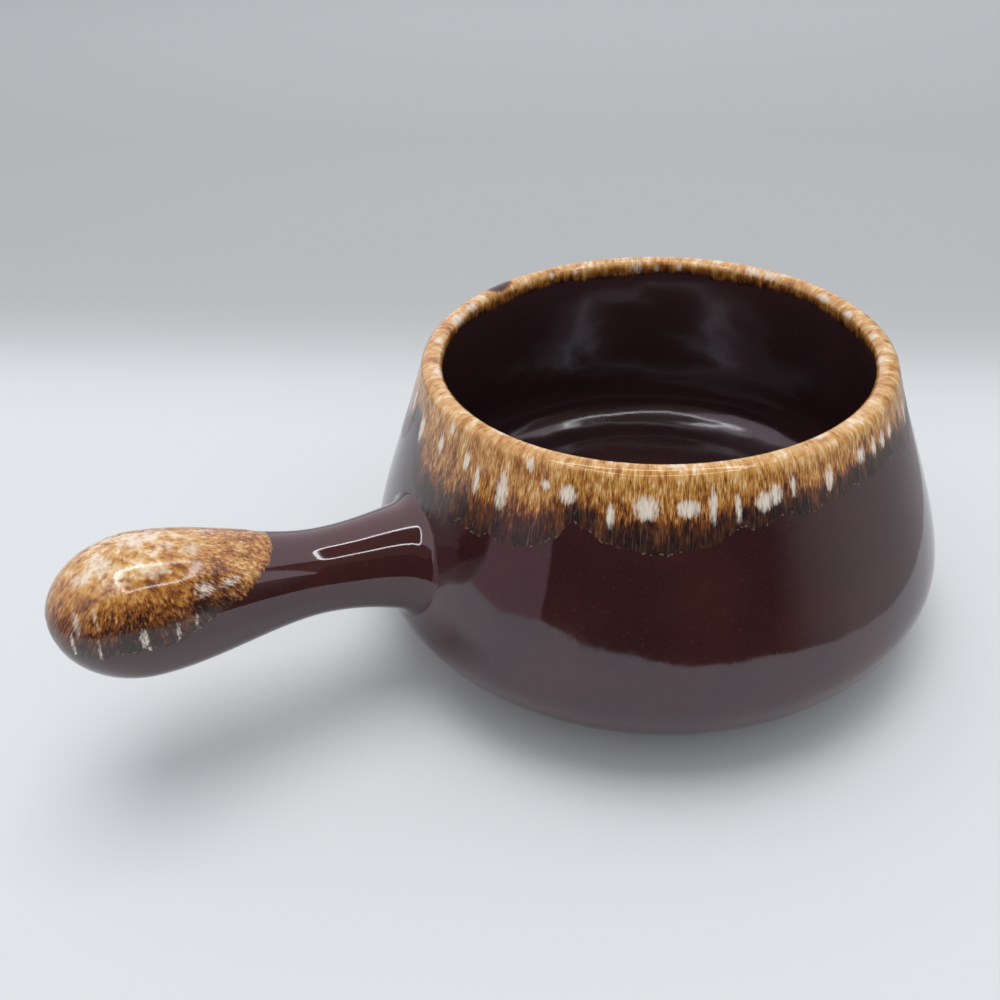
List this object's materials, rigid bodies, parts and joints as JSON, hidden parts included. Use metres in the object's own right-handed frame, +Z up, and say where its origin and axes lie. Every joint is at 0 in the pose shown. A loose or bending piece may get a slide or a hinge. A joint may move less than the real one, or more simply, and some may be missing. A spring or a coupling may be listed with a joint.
{
  "type": "stick-handled soup bowl",
  "caption": "Glossy brown stoneware soup bowl with a low round belly, a rounded lip with pale drip glaze and one bulb-ended stick handle.",
  "frame": {"origin": "on the bowl's axis, in the plane of the foot ring that stands on the table", "axes": "+Z up along the bowl's axis; the handle points along -X and tilts up a little; the handle's middle plane is Y = 0"},
  "size_m": [0.2267, 0.1496, 0.0756],
  "materials": {
    "clay": "matte",
    "slip": "matte",
    "brown_glaze": "polished",
    "dark_glaze": "polished",
    "drip_glaze": "polished"
  },
  "bodies": {
    "root": {"bowl_body": "clay", "handle_shell": "clay", "luting_slip": "slip", "inside_glaze": "dark_glaze", "outside_glaze": "brown_glaze", "base_glaze": "dark_glaze", "handle_glaze": "brown_glaze", "rim_drip_glaze": "drip_glaze", "handle_drip_glaze": "drip_glaze"}
  },
  "joints": []
}
